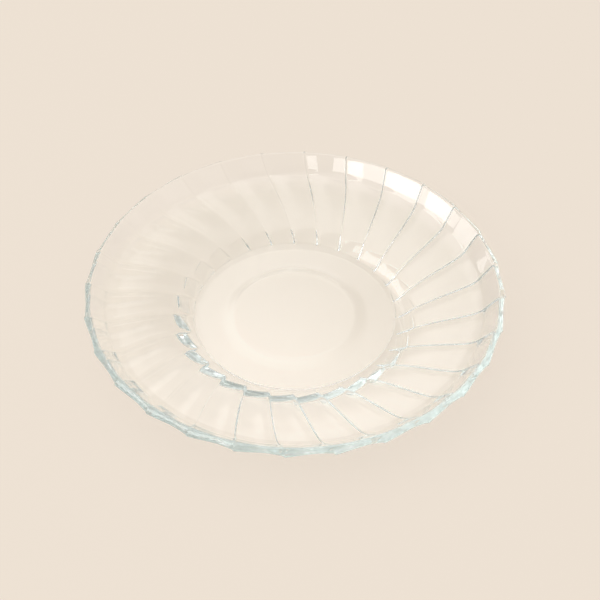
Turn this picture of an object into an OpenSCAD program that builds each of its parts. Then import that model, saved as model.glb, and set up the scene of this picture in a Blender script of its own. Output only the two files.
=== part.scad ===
// Scalloped dessert plate in clear pressed glass, one piece.
// A round well with a raised middle, a sloping wall, a wide brim with swirled flutes pressed into its
// underside, and a turned-up lip whose edge is scalloped by the ends of the ribs between the flutes.
// Sizes are in millimetres. The plate stands on z = 0 and its axis is Z.

/* [Plate] */
// Diameter over the rib ends
plate_d = 200; // [180:5:230]
// Height from the table to the top of the lip
plate_h = 23.2; // [21.6:0.2:26]
// Diameter of the crease round the well
well_d = 97; // [90:1:106]
// Height of that crease above the table
well_z = 5; // [4.5:0.25:6]

/* [Well] */
// Diameter of the raised middle
dome_d = 59; // [54:1:66]
// Width of the slope round the raised middle
dome_side = 4.2; // [3:0.2:6]
// Height of that slope
dome_h = 0.8; // [0.6:0.1:1.2]
// Rise of the floor from the crease to the foot of that slope
floor_rise = 0.7; // [0.2:0.1:1]

/* [Brim] */
// Width of the wall that rises from the well, seen from above
wall_w = 14.5; // [13:0.25:17]
// Slope of that wall, degrees
wall_angle = 24; // [20:1:28]
// Slope of the brim, degrees
brim_angle = 7.5; // [5:0.5:10]
// Slope of the turned-up lip, degrees
lip_angle = 45; // [40:1:50]
// Width of the flat land on top of the lip, seen from above
land_w = 3.1; // [2.6:0.1:4]
// Slope of that land, falling outwards, degrees
land_angle = 33; // [24:1:38]

/* [Flutes] */
// Number of ribs, with one flute after each
rib_count = 28; // [20:1:36]
// Turn of the rib line for each e-fold of radius, degrees
swirl = 15.6; // [0:0.2:22]
// Direction of the first rib's end, degrees from +X
first_rib = 10.5; // [0:0.5:18]
// Glass left at the bottom of a flute on the brim
flute_floor = 3.2; // [2.6:0.1:3.6]
// Glass left there beside the base
wall_floor = 4.8; // [4:0.1:5.2]
// Depth of a flute on the brim
flute_depth = 1.2; // [0.8:0.1:2]
// Depth of a flute at the lip
lip_depth = 1.4; // [1:0.1:2]
// Depth of the scallops in the lip's outline
scallop = 1.2; // [0.8:0.1:1.8]
// Length of a flute's sloping inner end
heel_run = 4.5; // [4:0.5:8]
// Slope of that end at the base, degrees
heel_angle = 38; // [36:1:50]

/* [Base] */
// Width of flat base outside the crease above it
base_out = 2.8; // [2:0.2:4]
// Diameter of the hollow under the well
hollow_d = 72; // [60:1:76]
// Depth of the hollow
hollow_h = 1; // [0.6:0.1:1.4]
// Width of the hollow's sloping side
hollow_side = 7; // [4:0.25:8]

/* [Hidden] */
$fn = 180;

rim_r = plate_d / 2;
well_r = well_d / 2;
dome_r = dome_d / 2;
knee_r = well_r + wall_w;
// The base stands a little below the flutes' inner ends, and just inside them.
base_r = well_r + base_out;
base_step = 0.4;
heel_gap = 0.4;
heel_wave = 2.6;
// The disc of the base reaches this far into the glass above it.
base_into = 1;
// Least and greatest share of a flute's inner end at which its curve turns.
heel_turn = [0.3, 0.95];
// The glass of the wall is thicker from here inwards, measured outside the wall's top.
thin_out = 8;
thin_r = knee_r + thin_out;
// Radii of the bends in the profile, and of the inner edge of the lip's land.
brow_bend = 2;
skirt_bend = 12;
crease_bend = 0.8;
knee_bend = 75;
lip_bend = 8;
nose_r = 1;
nose_steps = 5;
// Bevel under the lip's edge.
edge_inset = 1;
edge_rise = 1;
clear = 4;
// Half of the run over which the slope of the top is taken.
slope_half = 0.4;
// A flute drops by a small step beside its rib, runs down to its deepest line and climbs to the next rib.
// Places on that way are shares of the distance between two ribs.
step = 0.25;
step_run = 0.04;
valley = 0.36;
valley_round = 0.35;
// Share of that distance in which the flutes' inner ends step back to the base.
stair_back = 0.08;
u_steps = [0, step_run, stair_back, 0.2, valley, 0.55, 0.72, 0.87];
f_steps = [0, 0.1, 0.22, 0.35, 0.48, 0.6, 0.7, 0.77, 0.83, 0.89, 0.94, 1];
t_steps = [0, 0.25, 0.5, 0.75];

function unit(v) = v / norm(v);

// Points of the arc of radius rad that rounds the corner b of the line a, b, c.
function fillet(a, b, c, rad, steps) =
    let (u = unit(a - b), v = unit(c - b), half = acos(u * v) / 2)
    let (o = b + unit(u + v) * rad / sin(half), t = rad / tan(half))
    let (p = b + u * t - o, q = b + v * t - o)
    let (a0 = atan2(p[1], p[0]), d = atan2(q[1], q[0]) - a0, turn = d - 360 * round(d / 360))
    [for (i = [0 : steps]) o + rad * [cos(a0 + turn * i / steps), sin(a0 + turn * i / steps)]];

// Top of the glass, as radius and height from the axis to the lip.
nose = [rim_r - land_w, plate_h - nose_r];
lip_end = nose + nose_r * [-sin(lip_angle), cos(lip_angle)];
dome_z = well_z + floor_rise + dome_h;
centre = [0, dome_z];
brow = [dome_r, dome_z];
skirt = [dome_r + dome_side, well_z + floor_rise];
crease = [well_r, well_z];
knee = [knee_r, well_z + wall_w * tan(wall_angle)];
lip_foot_r = (lip_end[1] - lip_end[0] * tan(lip_angle) - knee[1] + knee_r * tan(brim_angle))
    / (tan(brim_angle) - tan(lip_angle));
lip_foot = [lip_foot_r, knee[1] + (lip_foot_r - knee_r) * tan(brim_angle)];
lip_past = lip_end + 2 * clear * [cos(lip_angle), sin(lip_angle)];
inner_line = concat(
    [centre],
    fillet(centre, brow, skirt, brow_bend, 2),
    fillet(brow, skirt, crease, skirt_bend, 2),
    fillet(skirt, crease, knee, crease_bend, 3),
    fillet(crease, knee, lip_foot, knee_bend, 8),
    fillet(knee, lip_foot, lip_end, lip_bend, 6)
);
top_line = concat(inner_line, [lip_past]);
nose_arc = [for (i = [0 : nose_steps])
    let (a = 90 + lip_angle - (lip_angle + land_angle) * i / nose_steps) nose + nose_r * [cos(a), sin(a)]];

function top_z(r) = lookup(r, top_line);
function steepness(r) = (top_z(r + slope_half) - top_z(r - slope_half)) / (2 * slope_half);

// One at a rib and none at the deepest line of the flute, u being the share of the way between ribs.
function dip(x) = (norm([x, valley_round]) - valley_round) / (norm([1, valley_round]) - valley_round);
function wave(u) = u < valley
    ? (1 - step) * dip(1 - u / valley) + step * (1 - min(1, u / step_run))
    : dip((u - valley) / (1 - valley));
function stair(u) = u < stair_back ? 1 - u / stair_back : (u - stair_back) / (1 - stair_back);
function heel_r(u) = base_r + heel_gap + heel_wave * stair(u);
function edge_r(u) = rim_r - scallop * (1 - wave(u));

// Thickness of the glass under the brim, and the height of its underside.
function held(x) = min(1, max(0, x));
function floor_at(r) = flute_floor + (wall_floor - flute_floor) * held((thin_r - r) / (thin_r - base_r));
function depth_at(r) =
    flute_depth + (lip_depth - flute_depth) * held((r - lip_foot_r) / (rim_r - lip_foot_r));
function glass(r, u) = floor_at(r) + depth_at(r) * wave(u);
function under_z(r, u) = top_z(r) - glass(r, u) * sqrt(1 + pow(steepness(r), 2));

// Radius and height of the underside at one place along a flute, from its inner end to the lip's edge.
function under_at(f, u) =
    let (r0 = heel_r(u) + heel_run, r1 = edge_r(u) - edge_inset, r = r0 + (r1 - r0) * f)
    [r, under_z(r, u)];
// The same along its inner end, a curve that leaves the base at the heel's angle.
function heel_at(t, u) =
    let (low = [heel_r(u), base_step], high = under_at(0, u), s = steepness(high[0]))
    let (reach = (high[1] - low[1] - heel_run * s) / (tan(heel_angle) - s))
    let (x = heel_run * min(max(reach / heel_run, heel_turn[0]), heel_turn[1]))
    let (mid = low + x * [1, tan(heel_angle)])
    pow(1 - t, 2) * low + 2 * t * (1 - t) * mid + t * t * high;
function section(u) = concat(
    [for (t = t_steps) heel_at(t, u)],
    [for (f = f_steps) under_at(f, u)],
    [[edge_r(u), under_at(1, u)[1] + edge_rise]],
    [[edge_r(u), plate_h + clear]]
);
function turned(p, k) =
    let (a = first_rib - 360 * k / rib_count - swirl * ln(rim_r / p[0]))
    [p[0] * cos(a), p[0] * sin(a), p[1]];

// Solid under the brim with its flutes, closed above the lip.
module fluted_blank() {
    rows = len(section(0));
    cols = rib_count * len(u_steps);
    rings = [for (k = [0 : rib_count - 1]) for (u = u_steps) [for (p = section(u)) turned(p, k + u)]];
    points = concat([for (ring = rings) each ring], [[0, 0, base_step], [0, 0, plate_h + clear]]);
    low = cols * rows;
    sides = [for (c = [0 : cols - 1]) for (r = [0 : rows - 2])
        let (a = c * rows + r, b = ((c + 1) % cols) * rows + r)
        each [[a, b + 1, a + 1], [a, b, b + 1]]];
    caps = [for (c = [0 : cols - 1])
        let (a = c * rows, b = ((c + 1) % cols) * rows)
        each [[low, b, a], [low + 1, a + rows - 1, b + rows - 1]]];
    polyhedron(points, concat(sides, caps), convexity = 10);
}

// Flat disc that the plate stands on.
module base_disc() {
    cylinder(r = base_r, h = base_step + base_into);
}

// Space above the glass: the well, the wall, the brim and the rounded top of the lip.
module upper_space() {
    past = rim_r + clear;
    top = plate_h + 2 * clear;
    last = nose_arc[nose_steps];
    land_end = [past, last[1] - (past - last[0]) * tan(land_angle)];
    rotate_extrude()
        polygon(concat(inner_line, nose_arc, [land_end, [past, top], [0, top]]));
}

// Shallow hollow that lifts the middle of the base off the table.
module base_hollow() {
    r = hollow_d / 2;
    rotate_extrude()
        polygon([[0, -clear], [r, -clear], [r, 0], [r - hollow_side, hollow_h], [0, hollow_h]]);
}

module plate() {
    color([0.72, 0.87, 0.84, 0.6])
        difference() {
            union() {
                fluted_blank();
                base_disc();
            }
            upper_space();
            base_hollow();
        }
}

plate();
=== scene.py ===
# %% [markdown]
# # A scalloped dessert plate in pressed glass
# The plate is one pressing: hot glass squeezed between a smooth plunger, which leaves the top,
# and a fluted mould, which leaves the underside. The lesson builds that one surface as a closed
# grid of points, gives it a faintly aqua glass, and sets it on a pale floor beside one long softbox.

import math

import bpy
import numpy as np
from mathutils import Matrix


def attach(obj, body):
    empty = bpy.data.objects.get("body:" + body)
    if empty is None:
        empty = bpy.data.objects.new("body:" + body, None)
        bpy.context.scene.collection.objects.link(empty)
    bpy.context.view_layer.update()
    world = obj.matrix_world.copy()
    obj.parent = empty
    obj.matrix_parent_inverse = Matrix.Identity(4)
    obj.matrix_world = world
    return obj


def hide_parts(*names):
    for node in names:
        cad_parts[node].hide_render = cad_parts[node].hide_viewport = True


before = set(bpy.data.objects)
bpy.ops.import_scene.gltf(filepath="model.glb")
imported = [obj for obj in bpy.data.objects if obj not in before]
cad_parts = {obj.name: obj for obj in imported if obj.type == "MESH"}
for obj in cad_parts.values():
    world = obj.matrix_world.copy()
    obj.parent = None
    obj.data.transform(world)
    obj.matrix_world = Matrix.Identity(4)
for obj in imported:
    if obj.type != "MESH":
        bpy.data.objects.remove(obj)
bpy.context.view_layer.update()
MM = 0.001

# %% [markdown]
# ## Sizes
# A caliper on the real plate would give these first: the circle over the rib ends, the height, the
# crease round the well and the flat base. Each step below adds the sizes that it is the first to
# need. All of them are millimetres or degrees.

# %% Sizes
RIM_R, PLATE_H = 100.0, 23.2
WELL_R, WELL_Z, BASE_R = 48.5, 5.0, 51.3
RIBS, SWIRL, FIRST_RIB = 28, 15.6, 10.5
print("ribs:", RIBS, " step between ribs, deg:", round(360 / RIBS, 2))

# %% [markdown]
# ## The line of the top
# The plunger is turned on a lathe, so the top is one line spun about the axis: a well with a raised
# middle, a wall, a brim and a turned-up lip. Straight lines joined by arcs are how the mould maker
# would draw it, so the code does the same instead of fitting a curve through points. Two helpers
# come first: one rounds a corner and one turns an angle into a slope.


# %% Corners and slopes
def bend(a, b, c, radius, steps):
    """Arc of the given radius that rounds corner b: its centre lies on the line that halves the
    corner, at radius over the sine of half the corner's angle."""
    a, b, c = map(np.asarray, (a, b, c))
    u, v = (a - b) / np.linalg.norm(a - b), (c - b) / np.linalg.norm(c - b)
    half = np.arccos(u @ v) / 2
    middle = b + (u + v) / np.linalg.norm(u + v) * radius / np.sin(half)
    start, end = b + u * radius / np.tan(half) - middle, b + v * radius / np.tan(half) - middle
    first = np.arctan2(start[1], start[0])
    turn = (np.arctan2(end[1], end[0]) - first + np.pi) % (2 * np.pi) - np.pi
    angle = first + turn * np.linspace(0, 1, steps)
    return middle + radius * np.stack([np.cos(angle), np.sin(angle)], 1)


def slope(degrees):
    """Rise over run of a line at that angle, which is its tangent."""
    return math.tan(math.radians(degrees))


print("rise over run at 30 degrees:", round(slope(30.0), 3))

# %% Profile
DOME_R, DOME_SIDE, DOME_H, FLOOR_RISE = 29.5, 4.2, 0.8, 0.7
WALL_W, WALL_ANGLE, BRIM_ANGLE, LIP_ANGLE = 14.5, 24.0, 7.5, 45.0
BROW_BEND, SKIRT_BEND, CREASE_BEND, KNEE_BEND, LIP_BEND = 0.5, 3.0, 0.8, 75.0, 12.0
LAND_W, NOSE_R, PAST_LIP = 3.1, 1.0, 6.0

dome_top = WELL_Z + FLOOR_RISE + DOME_H
centre, brow = np.array([0.0, dome_top]), np.array([DOME_R, dome_top])
skirt = np.array([DOME_R + DOME_SIDE, WELL_Z + FLOOR_RISE])
crease = np.array([WELL_R, WELL_Z])
knee_r = WELL_R + WALL_W
knee = np.array([knee_r, WELL_Z + WALL_W * slope(WALL_ANGLE)])

# The lip's line ends at the rounded inner edge of the rim. Carried back from there, it meets the
# line of the brim at the foot of the lip.
lean = math.radians(LIP_ANGLE)
nose = np.array([RIM_R - LAND_W, PLATE_H - NOSE_R])
lip_end = nose + NOSE_R * np.array([-math.sin(lean), math.cos(lean)])
apart = lip_end[1] - lip_end[0] * slope(LIP_ANGLE) - knee[1] + knee_r * slope(BRIM_ANGLE)
foot_r = apart / (slope(BRIM_ANGLE) - slope(LIP_ANGLE))
foot = np.array([foot_r, knee[1] + (foot_r - knee_r) * slope(BRIM_ANGLE)])
profile = np.vstack(
    [
        [centre],
        bend(centre, brow, skirt, BROW_BEND, 12),
        bend(brow, skirt, crease, SKIRT_BEND, 12),
        bend(skirt, crease, knee, CREASE_BEND, 7),
        bend(crease, knee, foot, KNEE_BEND, 40),
        bend(knee, foot, lip_end, LIP_BEND, 30),
        [lip_end + PAST_LIP * np.array([1, slope(LIP_ANGLE)])],
    ]
)
print("top line:", len(profile), "points; lip starts at radius", round(foot_r, 1))

# %% [markdown]
# ## The wave of the flutes
# Round the rim, each flute falls fast beside one rib and climbs slowly to the next, like a breaking
# wave. A sine would make both sides alike. Two branches of a hyperbola that meet at the deepest
# line are round there and nearly straight at the rib, as the real flutes are. A steep little step
# follows each rib, because the real ribs are crisp on that side and it is where they catch light.

# %% Wave
STEP, STEP_RUN, VALLEY, VALLEY_ROUND = 0.36, 0.048, 0.36, 0.35


def smooth(x):
    """Eased step from zero to one, three squares less two cubes."""
    x = np.clip(x, 0, 1)
    return x * x * (3 - 2 * x)


def dip(x):
    """Branch of a hyperbola from zero at the valley to one at the rib: round below, straight above."""
    x = np.clip(x, 0, 1)
    return (np.hypot(x, VALLEY_ROUND) - VALLEY_ROUND) / (math.hypot(1, VALLEY_ROUND) - VALLEY_ROUND)


def wave(u):
    """One at a rib and zero at the deepest line: the fast branch and the step, plus the slow branch."""
    part = u - np.floor(u)
    fast = (1 - STEP) * dip(1 - part / VALLEY) + STEP * (1 - smooth(part / STEP_RUN))
    return fast + dip((part - VALLEY) / (1 - VALLEY))


fine = np.array([0, 0.012, 0.024, 0.036, 0.048, 0.08, 0.14, 0.21, 0.28, 0.36])
slow = np.array([0.44, 0.54, 0.64, 0.74, 0.83, 0.91, 0.96, 0.99])
shares = np.concatenate([fine, slow])
columns = (np.arange(RIBS)[:, None] + shares[None, :]).ravel()
high = wave(columns)[None, :]
flat = np.ones_like(high)
print("columns round the plate:", columns.size)

# %% [markdown]
# ## How thick the glass is
# The underside lies a glass thickness below the top. That thickness is greatest beside the base,
# and the flutes are pressed into it: shallow near the base and deepest in the lip. Modelling the
# underside by its distance from the top keeps the glass from ever running thin, which a freely
# drawn second surface would not.

# %% Thickness
FLUTE_FLOOR, WALL_FLOOR, THIN_OUT = 3.2, 4.8, 16.0
WALL_DEPTH, FLUTE_DEPTH, LIP_DEPTH = 0.3, 1.2, 1.4
thin_r = knee_r + THIN_OUT


def top_height(r):
    """Height of the top line at radius r, by straight steps between its points."""
    return np.interp(r, profile[:, 0], profile[:, 1])


def top_slope(r, half=0.4):
    """Rise over run of the top line at radius r, taken across a small step."""
    return (top_height(r + half) - top_height(r - half)) / (2 * half)


def glass_at(r):
    """Thickness of the glass: a floor that thickens towards the base, plus the wave times a depth
    that grows from the base to the lip."""
    floor_here = np.interp(r, [BASE_R, thin_r], [WALL_FLOOR, FLUTE_FLOOR])
    depths = [WALL_DEPTH, FLUTE_DEPTH, FLUTE_DEPTH, LIP_DEPTH]
    depth = np.interp(r, [BASE_R, thin_r, foot_r, RIM_R], depths)
    return floor_here + depth * high


def under_height(r):
    """Height of the underside: the top less the thickness, measured square to the top."""
    return top_height(r) - glass_at(r) * np.hypot(1, top_slope(r))


print("glass on the brim, mm:", FLUTE_FLOOR, "in a flute,", FLUTE_FLOOR + FLUTE_DEPTH, "at a rib")

# %% [markdown]
# ## Rows along the top
# Every column of the grid has the same run of rows: out along the top, round the lip's edge, back
# under the brim, down the inner end of the flute and in across the base. So the whole plate is one
# table of radius and height. The top comes first, with its rows close together where it bends. A
# fine groove marks the crease, and the top lifts a little over each rib, so the ribs show in the
# shine of the brim too. A bump in the material would show the shine but not the bent light.

# %% Top rows
HUB_R, NOSE_ROWS, LAND_ANGLE = 0.4, 7, 33.0
GROOVE_H, GROOVE_W = 0.5, 0.3
TOP_WAVE, WAVE_START, WAVE_RUN, WAVE_MEAN = 0.2, 55.0, 30.0, 0.33


def spaced(start, *stops):
    """Evenly spaced runs of values that follow on: each stop is the end of a run and its count."""
    parts = []
    for end, count in stops:
        parts.append(np.linspace(start, end, count, endpoint=False))
        start = end
    return np.append(np.concatenate(parts), start)


well_stops = [(28, 4), (37, 30), (44, 6), (47.5, 3), (49.5, 14)]
brim_stops = [(58, 6), (86, 14), (lip_end[0], 16)]
inner = spaced(HUB_R, *well_stops, *brim_stops)
fall = math.radians(LAND_ANGLE)
turn = np.linspace(lean, -fall, NOSE_ROWS + 1)[1:]
over = nose + NOSE_R * np.stack([-np.sin(turn), np.cos(turn)], 1)
groove = GROOVE_H * np.exp(-(((inner - WELL_R) / GROOVE_W) ** 2))
r_top = np.concatenate([inner, over[:, 0]])[:, None] * flat
z_top = np.concatenate([top_height(inner) - groove, over[:, 1]])[:, None] * flat
z_top = z_top + TOP_WAVE * np.clip((r_top - WAVE_START) / WAVE_RUN, 0, 1) * (high - WAVE_MEAN)
print("rows along the top:", len(z_top))

# %% [markdown]
# ## The rim
# On top of the lip is a flat land that falls outwards, then a narrow facet, then a corner that
# follows the scallops and is rounded by fire polishing. One bevelled edge would be quicker, but the
# facet is what mirrors the softbox as a white line along the near side, so it has rows of its own.

# %% Rim
SCALLOP, CORNER, FACET_W, FACET_ANGLE = 1.2, 1.0, 0.6, 40.5
LAND_SHARES, FACET_SHARES, CORNER_ROWS = [0.1, 0.5, 0.9, 1.0], [0.12, 0.88], 12


def curve(start, first, last, end, share):
    """Cubic curve from start to end that leaves towards first and arrives from last: each point
    weighs in by one of the four products of the share and what is left of it."""
    parts = (1 - share) ** 3, 3 * share * (1 - share) ** 2, 3 * share**2 * (1 - share), share**3
    return tuple(sum(w * p[i] for w, p in zip(parts, (start, first, last, end))) for i in (0, 1))


r_corner = RIM_R - SCALLOP * (1 - high) - CORNER
r_facet = r_corner - FACET_W
z_facet = z_top[-1:] - (r_facet - r_top[-1:]) * math.tan(fall)
land = np.array(LAND_SHARES)[:, None]
glint = np.array(FACET_SHARES)[:, None] * FACET_W
r_land = np.vstack([r_top[-1:] + (r_facet - r_top[-1:]) * land, r_facet + glint])
z_land = np.vstack([z_top[-1:] + (z_facet - z_top[-1:]) * land, z_facet - glint * slope(FACET_ANGLE)])
z_out = z_facet - FACET_W * slope(FACET_ANGLE)
z_low = under_height(r_corner)
push = CORNER * 4 / 3
r_edge, z_edge = curve(
    (r_corner, z_out),
    (r_corner + push, z_out - push * slope(FACET_ANGLE)),
    (r_corner + push, z_low + push * math.tan(lean)),
    (r_corner, z_low),
    np.linspace(0, 1, CORNER_ROWS)[:, None],
)
print("rim, mm: from radius", round(r_edge.max(axis=0).min(), 2), "to", round(r_edge.max(), 2))

# %% [markdown]
# ## Back under the brim and down to the base
# The underside runs back from the rim to the flute's inner end, which curves down to the base. Those
# ends step back one after another, so that 28 of them make a saw-toothed ring round the base. A
# ramp with a quick return draws the teeth, and a curve of the second degree draws the fall: it
# starts along the flute's floor and lands at the heel's own angle.

# %% Underside and heel
HEEL_GAP, HEEL_WAVE, HEEL_RUN, HEEL_ANGLE, STAIR_BACK = 0.4, 2.6, 4.5, 36.0, 0.08
BASE_STEP, TURN_FIRST, TURN_LAST, HEEL_ROWS = 0.4, 0.3, 0.95, 13
TAIL = [(0.45, 0.12), (0.9, 0.0)]


def stair(u):
    """Straight ramp from zero just after a rib to one at the next, with a quick return."""
    part = u - np.floor(u)
    return np.where(part < STAIR_BACK, 1 - part / STAIR_BACK, (part - STAIR_BACK) / (1 - STAIR_BACK))


heel_r = BASE_R + HEEL_GAP + HEEL_WAVE * stair(columns)[None, :]
heel_end = heel_r + HEEL_RUN
back = spaced(0, (0.3, 18), (1, 22))[1:, None]
r_under = r_corner + (heel_end - r_corner) * back
z_under = under_height(r_under)

gentle, steep = top_slope(heel_end), slope(HEEL_ANGLE)
reach = (z_under[-1:] - BASE_STEP - HEEL_RUN * gentle) / (steep - gentle)
reach = np.clip(reach, TURN_FIRST * HEEL_RUN, TURN_LAST * HEEL_RUN)
drop = np.linspace(0, 1, HEEL_ROWS + 1)[1:, None]
ease = (1 - drop) ** 2, 2 * drop * (1 - drop), drop**2
r_heel = heel_r + ease[0] * HEEL_RUN + ease[1] * reach
z_heel = ease[0] * z_under[-1:] + ease[1] * (BASE_STEP + reach * steep) + ease[2] * BASE_STEP
r_tail = np.vstack([heel_r - inset for inset, _ in TAIL])
z_tail = np.vstack([rise * flat for _, rise in TAIL])
print("rows under the brim:", len(r_under), " rows down the heel:", len(r_heel) + len(r_tail))

# %% [markdown]
# ## The base
# The plate stands on a flat ring. Inside it the glass is pressed a millimetre hollow, so that the
# plate doesn't rock. The hollow's side is a smooth ramp and not a chamfer, because a sharp corner
# there would show through the well as a hard line.

# %% Base
HOLLOW_R, HOLLOW_H, HOLLOW_SIDE, SIDE_ROWS = 36.0, 1.0, 7.0, 12
ring_r = np.array([50.0, 44.0, HOLLOW_R + 1.5])
roof_r = np.array([HOLLOW_R - HOLLOW_SIDE - 0.5, 24.0, 12.0, HUB_R])
side = np.linspace(0, 1, SIDE_ROWS)
# Height of the ramp: one and a half squares of the way in, less half its fourth power.
side_z = HOLLOW_H * (1.5 * side**2 - 0.5 * side**4)
base_r = np.concatenate([ring_r, HOLLOW_R - HOLLOW_SIDE * side, roof_r])
base_z = np.concatenate([np.zeros_like(ring_r), side_z, np.full_like(roof_r, HOLLOW_H)])
r_base, z_base = base_r[:, None] * flat, base_z[:, None] * flat

radius = np.vstack([r_top, r_land, r_edge, r_under, r_heel, r_tail, r_base])
height = np.vstack([z_top, z_land, z_edge, z_under, z_heel, z_tail, z_base])
print("rows:", len(radius), " widest:", round(radius.max(), 2), " tallest:", round(height.max(), 2))

# %% [markdown]
# ## The plate as one mesh
# Ribs on the plate lean clockwise towards the middle by the same angle each time the radius shrinks
# by the same share, which is a logarithmic spiral. Turning every point of the table by that spiral
# swirls the flutes; the two holes left at the axis are closed with a fan of triangles each. Glass
# has to be one closed skin, or light would not know when it is inside.


# %% Mesh
def build_mesh(name, points, faces, rounded=True):
    """Mesh object from whole arrays: points of shape (n, 3) in millimetres, and lists of faces."""
    mesh = bpy.data.meshes.new(name)
    mesh.from_pydata((points * MM).tolist(), [], faces)
    mesh.polygons.foreach_set("use_smooth", np.full(len(mesh.polygons), rounded))
    mesh.validate()
    mesh.update()
    thing = bpy.data.objects.new(name, mesh)
    bpy.context.scene.collection.objects.link(thing)
    return thing


def swirled(r, z):
    """Points of the table in space: a column's angle, less the spiral's turn at that radius."""
    outer = np.clip(r, BASE_R, None)
    angle = np.radians(FIRST_RIB - 360 * columns[None, :] / RIBS - SWIRL * np.log(RIM_R / outer))
    return np.stack([r * np.cos(angle), r * np.sin(angle), z], -1)


rows, cols = radius.shape
grid = np.arange(rows * cols).reshape(rows, cols)
next_col = np.roll(grid, -1, axis=1)
quads = np.stack([grid[:-1], next_col[:-1], next_col[1:], grid[1:]], -1).reshape(-1, 4)
hubs = np.array([[0, 0, dome_top], [0, 0, HOLLOW_H]])
top_fan = np.stack([np.full(cols, rows * cols), next_col[0], grid[0]], -1)
low_fan = np.stack([np.full(cols, rows * cols + 1), grid[-1], next_col[-1]], -1)
points = np.vstack([swirled(radius, height).reshape(-1, 3), hubs])
plate = build_mesh("plate_glass", points, quads.tolist() + top_fan.tolist() + low_fan.tolist())
print("triangles:", 2 * len(quads) + 2 * cols)

# %% [markdown]
# ## Shader arithmetic
# A shader is a graph of boxes and wires. Wrapping each wire in a small class lets the graph be
# written as ordinary sums, so a formula for the glass reads like a formula. Placing each box by
# hand would do the same in four times the lines.


# %% Graph helper
class Wire:
    """One output socket in a material's graph; sums and products on it add Math nodes."""

    def __init__(self, tree, socket):
        self.tree, self.socket = tree, socket

    def plug(self, socket):
        """Connects this wire to an input socket."""
        self.tree.links.new(self.socket, socket)

    def node(self, kind, settings=(), inputs=(), output=0):
        """Adds any node: its type, its settings by name, its inputs by name or number."""
        made = self.tree.nodes.new(kind)
        for key, value in dict(settings).items():
            setattr(made, key, value)
        for key, value in dict(inputs).items():
            if isinstance(value, Wire):
                value.plug(made.inputs[key])
            else:
                made.inputs[key].default_value = value
        return Wire(self.tree, made.outputs[output])

    def maths(self, operation, *values):
        """One Math node on up to three values."""
        return self.node("ShaderNodeMath", {"operation": operation}, dict(enumerate(values)))

    def __add__(self, other):
        return self.maths("ADD", self, other)

    def __sub__(self, other):
        return self.maths("SUBTRACT", self, other)

    def __rsub__(self, other):
        return self.maths("SUBTRACT", other, self)

    def __mul__(self, other):
        return self.maths("MULTIPLY", self, other)

    __radd__, __rmul__ = __add__, __mul__

    def clamp(self):
        """The value held between zero and one."""
        return self.node("ShaderNodeClamp", {}, {0: self})

    def mix(self, low, high):
        """Colour that goes from low to high as this value goes from zero to one."""
        ends = {6: low, 7: high}
        ends = {k: v if isinstance(v, Wire) else (*v, 1) for k, v in ends.items()}
        return self.node("ShaderNodeMix", {"data_type": "RGBA"}, {0: self, **ends}, output=2)


def node_of(tree, kind):
    """The first node of that type in a graph."""
    return next(n for n in tree.nodes if n.type == kind)


def new_material(name):
    """A material with a Principled shader, and a wire that gives object coordinates in metres."""
    material = bpy.data.materials.new(name)
    material.use_nodes = True
    tree = material.node_tree
    place = tree.nodes.new("ShaderNodeTexCoord")
    return material, node_of(tree, "BSDF_PRINCIPLED"), Wire(tree, place.outputs["Object"])


print("graph helper ready")

# %% [markdown]
# ## The glass
# Soda-lime glass bends light by 1.52 and a trace of iron eats red first, so a long path through it
# turns aqua while a short one stays clear. A tinted surface would colour every spot alike;
# absorption inside the volume colours the thick rim and leaves the well clear. The surface is fire
# polished: it carries a very faint waviness from the mould, and only the ring that slides on the
# table is worn dull.

# %% Glass
GLASS_BEND, GLASS_TINT, TINT_DENSITY = 1.52, (0.2, 0.46, 0.39), 2.6
POLISH, HAZE, WEAR, WORN_H = 0.004, 0.01, 0.18, 0.25
SPECK_SCALE, RIPPLE_SCALE, RIPPLE_SHARE, RIPPLE_H = 900.0, 60.0, 0.02, 0.2

material, shader, place = new_material("pressed_glass")
shader.inputs["Base Color"].default_value = (1, 1, 1, 1)
shader.inputs["Transmission Weight"].default_value = 1.0
shader.inputs["IOR"].default_value = GLASS_BEND
lift = place.node("ShaderNodeSeparateXYZ", {}, {0: place}, output="Z")
worn = (1 - lift * (1 / (WORN_H * MM))).clamp()
specks = place.node("ShaderNodeTexNoise", {}, {"Vector": place, "Scale": SPECK_SCALE, "Detail": 4.0})
ripples = place.node("ShaderNodeTexNoise", {}, {"Vector": place, "Scale": RIPPLE_SCALE, "Detail": 2.0})
(POLISH + HAZE * specks * ripples + WEAR * worn * specks).plug(shader.inputs["Roughness"])
relief = {"Height": ripples, "Strength": RIPPLE_SHARE, "Distance": RIPPLE_H * MM}
place.node("ShaderNodeBump", {}, relief).plug(shader.inputs["Normal"])
tint = place.tree.nodes.new("ShaderNodeVolumeAbsorption")
tint.inputs["Color"].default_value = (*GLASS_TINT, 1)
tint.inputs["Density"].default_value = TINT_DENSITY
place.tree.links.new(tint.outputs[0], node_of(place.tree, "OUTPUT_MATERIAL").inputs["Volume"])
plate.data.materials.append(material)
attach(plate, "root")
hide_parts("plate")
print("glass on:", plate.name)
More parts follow.
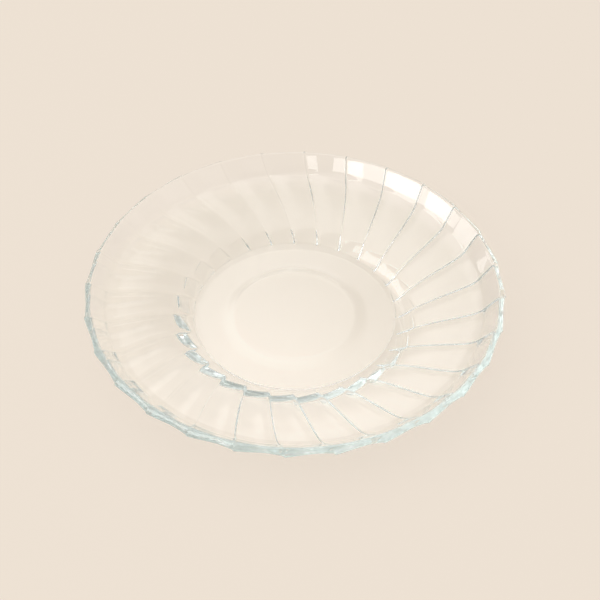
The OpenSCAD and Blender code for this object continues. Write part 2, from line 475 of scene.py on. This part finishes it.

# %% [markdown]
# ## The floor
# The plate lies on a plain cream sheet, which seen directly shows mostly its own colour, so that the
# background stays even. Light that the glass gathers makes the sheet under it paler, most of all
# towards the left and the camera, and the plate's shadow darkens it far off. Tracing all of that
# light is slow, so a painted pool of light and shade, seen only through or off the glass, stands for
# most of it: painted shade far off, painted light near the camera and on the left. The rest of the
# sheet's look is real light, so it keeps the plate's shadow and the faint lines that the flutes cast,
# but under the plate that lit sheet is also painted a paler colour than the cream.

# %% Floor
CREAM = (0.83, 0.738, 0.638)
# Painted shade for the far part of the pool, painted light for its near part, and a painted paler colour
# for the lit sheet under the plate.
PAINTED_SHADE_FAR, PAINTED_LIGHT_NEAR, PAINTED_PALER_LIT = (0.72, 0.643, 0.53), (1.0, 0.895, 0.77), (0.97, 0.871, 0.739)
SHEET_GLOW, GLASS_GLOW = 0.9, 0.72
POOL_CENTRE, POOL_R, POOL_PEAK = (-0.012, -0.042, 0.0), 0.155, 1.14
FADE_START, FADE_W = 0.09, 0.015
CAMERA_RAY, GLOSSY_RAY, TRANSMISSION_RAY = 0, 3, 6
SPAN, SHEET_Z = 2000.0, -0.05


def ray_kinds(wire, *kinds):
    """One for rays of the named kinds and zero for all others: the kinds' outputs added up."""
    return sum(wire.node("ShaderNodeLightPath", output=kind) for kind in kinds).clamp()


corners = np.array([[-SPAN, -SPAN, 0], [SPAN, -SPAN, 0], [SPAN, SPAN, 0], [-SPAN, SPAN, 0]])
floor_sheet = build_mesh("floor", corners + [0, 0, SHEET_Z], [[0, 1, 2, 3]], rounded=False)
floor_material, floor_shader, spot = new_material("cream_sheet")
floor_shader.inputs["Roughness"].default_value = 0.9
floor_shader.inputs["Specular IOR Level"].default_value = 0.0

ends = {0: spot, 1: POOL_CENTRE}
from_pool = spot.node("ShaderNodeVectorMath", {"operation": "DISTANCE"}, ends, output=1)
from_axis = spot.node("ShaderNodeVectorMath", {"operation": "LENGTH"}, {0: spot}, output=1)
# Painted pool of light: full near its centre, fading out a pool radius away.
pool = (POOL_PEAK - from_pool * (1 / POOL_R)).clamp()
beyond = (from_axis * (1 / FADE_W) - FADE_START / FADE_W).clamp()
through = ray_kinds(spot, GLOSSY_RAY, TRANSMISSION_RAY)
# Under the plate, rays through or off the glass see the lit sheet in a painted paler colour.
through.mix(CREAM, beyond.mix(PAINTED_PALER_LIT, CREAM)).plug(floor_shader.inputs["Base Color"])
# Painted pool colour: painted shade far off, painted light near the camera, plain cream beyond the plate.
shade = through.mix(CREAM, beyond.mix(pool.mix(PAINTED_SHADE_FAR, PAINTED_LIGHT_NEAR), CREAM))
glow = spot.node("ShaderNodeEmission", {}, {"Color": shade, "Strength": 1.0})
lit = Wire(spot.tree, floor_shader.outputs[0])
# Seen directly, an even cream glow keeps the backdrop plain; seen through or off the glass, the painted
# pool's glow makes up most of the sheet.
share = (SHEET_GLOW * ray_kinds(spot, CAMERA_RAY) + GLASS_GLOW * through).clamp()
sheet = spot.node("ShaderNodeMixShader", {}, {0: share, 1: lit, 2: glow})
sheet.plug(node_of(spot.tree, "OUTPUT_MATERIAL").inputs["Surface"])
floor_sheet.data.materials.append(floor_material)
print("floor, m across:", 2 * SPAN * MM)

# %% [markdown]
# ## The room
# Glass shows its surroundings more than itself. The room is dim, brighter high on the left, with a
# pale strip low behind the plate and a weak fill high on the right. These are what the brim and the
# well mirror. Each is a soft-edged patch of sky round one direction, which is simpler to place than
# a lamp and has no hard edge to mirror.

# %% Room
DIM, TOP, BACK, FILL = 0.46, 1.95, 0.9, 0.55
world = bpy.data.worlds.new("room")
world.use_nodes = True
sky = world.node_tree.nodes["Background"]
aim = Wire(world.node_tree, world.node_tree.nodes.new("ShaderNodeTexCoord").outputs["Generated"])


def patch(towards, edge, full):
    """Soft patch of sky: the dot product of the ray with a direction, eased from zero at the edge to
    one at full."""
    facing = aim.node("ShaderNodeVectorMath", {"operation": "DOT_PRODUCT"}, {0: aim, 1: towards}, output=1)
    ends = {"Value": facing, "From Min": edge, "From Max": full}
    return aim.node("ShaderNodeMapRange", {"interpolation_type": "SMOOTHSTEP"}, ends)


# The brighter side fades out towards the horizon.
left_side = patch((-0.55, 0.22, 0.8), 0.55, 0.9) * patch((0, 0, 1), 0.3, 0.7)
strip_behind = patch((0, 0.88, 0.47), 0.95, 0.99)
right_side = patch((0.55, 0.1, 0.83), 0.8, 0.97)
level = DIM + (TOP - DIM) * left_side + BACK * strip_behind + FILL * right_side
direct = ray_kinds(aim, CAMERA_RAY)
direct.mix((1, 1, 1), CREAM).plug(sky.inputs["Color"])
(level * (1 - direct) + direct).plug(sky.inputs["Strength"])
bpy.context.scene.world = world
print("room light, from", DIM, "to", TOP)

# %% [markdown]
# ## The softbox
# One long, narrow softbox stands on the left. It gives the far right of the lip its long highlight
# and draws the white line along the near left of the rim. It is placed by the two directions in
# which its ends have to be seen from the plate, since those decide where its image lies.

# %% Softbox
KEY, KEY_AWAY, KEY_TALL = 3.6, 1.8, 0.46
KEY_ENDS = [(-0.33, -0.63, 0.71), (-0.908, 0.12, 0.415)]


def softbox(name, ends, distance, tall, brightness):
    """Area lamp that spans two directions and faces the plate; its power is its brightness times pi
    times its area."""
    first, last = (np.array(end) / np.linalg.norm(end) for end in ends)
    facing = (first + last) / np.linalg.norm(first + last)
    along = (first - last) / np.linalg.norm(first - last)
    lamp = bpy.data.lights.new(name, "AREA")
    lamp.shape, lamp.size_y = "RECTANGLE", tall
    lamp.size = 2 * distance * math.tan(math.acos(first @ facing))
    lamp.energy = brightness * math.pi * lamp.size * lamp.size_y
    holder = bpy.data.objects.new(name, lamp)
    axes = np.stack([along, np.cross(facing, along), facing], 1)
    holder.matrix_world = Matrix.LocRotScale(facing * distance, Matrix(axes.tolist()), None)
    bpy.context.scene.collection.objects.link(holder)
    return lamp


key = softbox("softbox_left", KEY_ENDS, KEY_AWAY, KEY_TALL, KEY)
print("softbox width, m:", round(key.size, 2))

# %% [markdown]
# ## Camera
# The photograph was taken from in front and above with a longish lens, and the plate lies a little
# below and left of the middle of the picture. Shifting the lens puts it there without turning the
# camera, which would change the shape of the ellipses.

# %% Camera
LENS, SENSOR, DISTANCE, ELEVATION = 91.2, 36.0, 733.5, 46.82
FRAME_PX, RIGHT_PX, UP_PX = 600, 5.4, 13.0
camera = bpy.data.objects.new("camera", bpy.data.cameras.new("camera"))
camera.data.lens, camera.data.sensor_width = LENS, SENSOR
camera.data.shift_x, camera.data.shift_y = RIGHT_PX / FRAME_PX, UP_PX / FRAME_PX
tilt = math.radians(ELEVATION)
camera_z = (WELL_Z + DISTANCE * math.sin(tilt)) * MM
camera.location = (0, -DISTANCE * MM * math.cos(tilt), camera_z)
camera.rotation_euler = (math.pi / 2 - tilt, 0, 0)
bpy.context.scene.collection.objects.link(camera)
bpy.context.scene.camera = camera
bpy.context.scene.view_settings.view_transform = "Standard"
print("camera height, m:", round(camera_z, 3))

# %% [markdown]
# ## Light inside the glass
# A ray in the rim bounces many times between the faces before it gets out. With the usual few turns
# such rays end in black, and the rim would look like dark plastic, so more turns are allowed.

# %% Turns of a ray
TURNS = 40
cycles = bpy.context.scene.cycles
cycles.max_bounces = cycles.glossy_bounces = cycles.transmission_bounces = TURNS
print("turns a ray may take in the glass:", TURNS)
